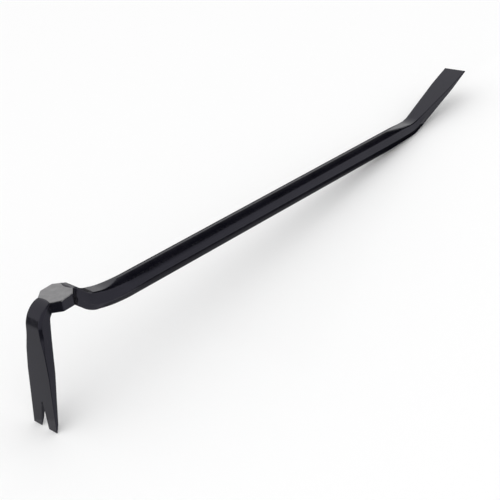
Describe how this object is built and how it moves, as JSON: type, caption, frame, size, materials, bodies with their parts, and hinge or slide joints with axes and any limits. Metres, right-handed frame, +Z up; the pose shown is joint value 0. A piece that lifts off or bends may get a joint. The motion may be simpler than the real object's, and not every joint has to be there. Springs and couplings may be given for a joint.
{
  "type": "pry bar",
  "caption": "One-piece forged pry bar: bent nail claw, ground striking face, gooseneck, octagon shank and a chisel end.",
  "frame": {"origin": "on the floor, under the middle of the bar's bounding box, with the bar lying on its claw tips and the underside of its chisel neck", "axes": "+X from the claw to the chisel, +Y to the user's left, across the bar, +Z up"},
  "size_m": [0.6107, 0.0304, 0.1011],
  "materials": {
    "black_lacquer": "satin black lacquer over forged steel",
    "ground_steel": "bare steel, ground flat"
  },
  "bodies": {
    "root": {"left_tine": "black_lacquer", "right_tine": "black_lacquer", "claw_blade": "black_lacquer", "claw_heel": "black_lacquer", "striking_head": "black_lacquer", "striking_face": "ground_steel", "gooseneck": "black_lacquer", "neck_shoulder": "black_lacquer", "shank": "black_lacquer", "chisel_neck": "black_lacquer", "chisel_blade": "black_lacquer"}
  },
  "joints": []
}
